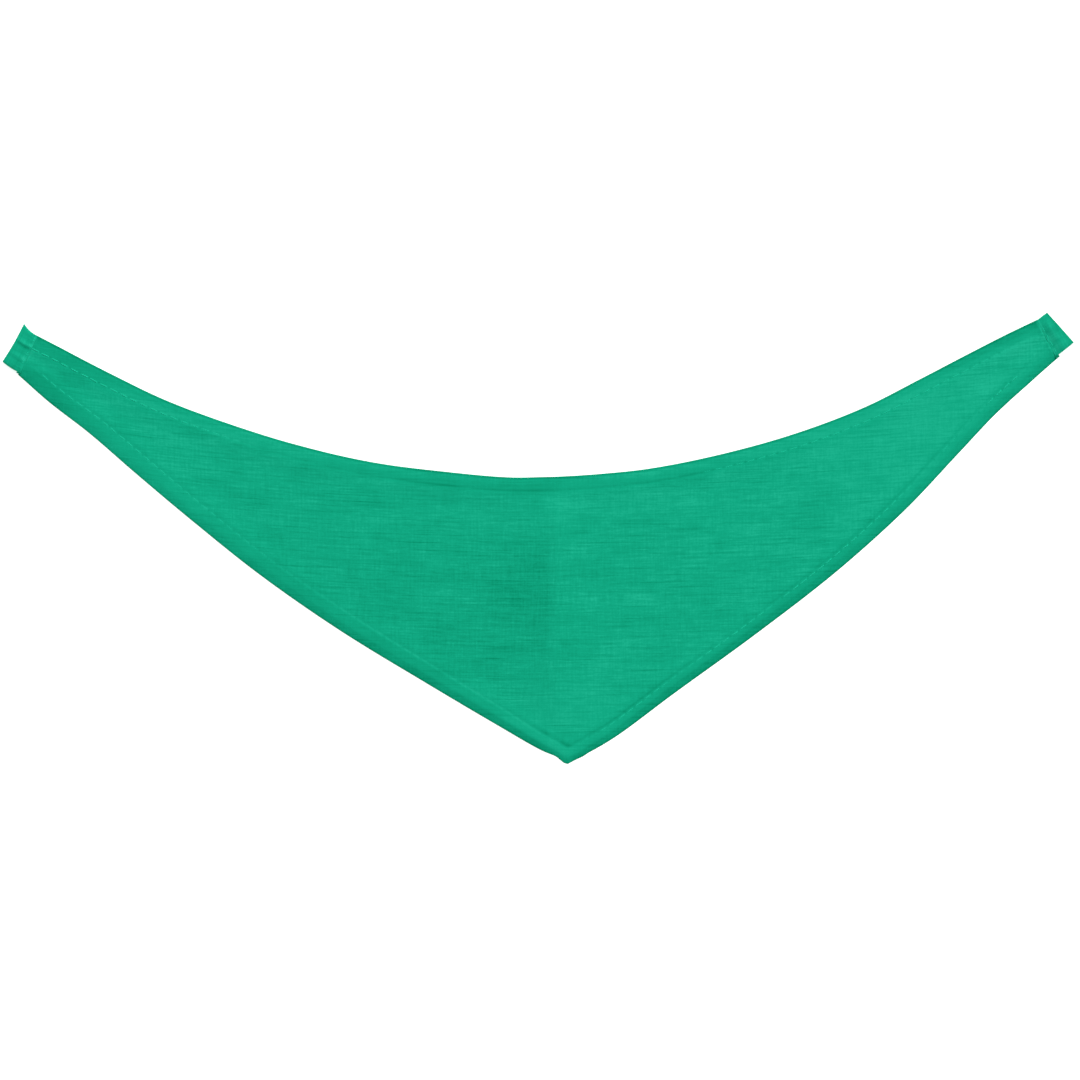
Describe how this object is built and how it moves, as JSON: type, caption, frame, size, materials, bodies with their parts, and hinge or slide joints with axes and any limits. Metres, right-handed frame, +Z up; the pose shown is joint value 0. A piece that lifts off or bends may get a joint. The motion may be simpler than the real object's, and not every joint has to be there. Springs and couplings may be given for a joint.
{
  "type": "neckerchief",
  "caption": "Triangular cloth neckerchief laid open, with a curved neck edge, turned and topstitched hems, and a short folded tab on each tail end.",
  "frame": {"origin": "middle of the outline's box, on the surface that the cloth lies on", "axes": "+X from the left tail to the right tail, +Y from the hanging point towards the neck edge, +Z up out of the outer face"},
  "size_m": [0.45, 0.1894, 0.0042],
  "materials": {
    "panel_cloth": "matt slubby plain weave, emerald green",
    "hem_cloth": "matt slubby plain weave, emerald green, turned twice",
    "tab_cloth": "matt slubby plain weave, emerald green, folded",
    "clasp_metal": "plain satin"
  },
  "bodies": {
    "root": {"panel": "panel_cloth", "neck_hem": "hem_cloth", "left_hem": "hem_cloth", "right_hem": "hem_cloth", "left_tab": "tab_cloth", "right_tab": "tab_cloth", "left_clasp": "clasp_metal", "right_clasp": "clasp_metal"}
  },
  "joints": []
}
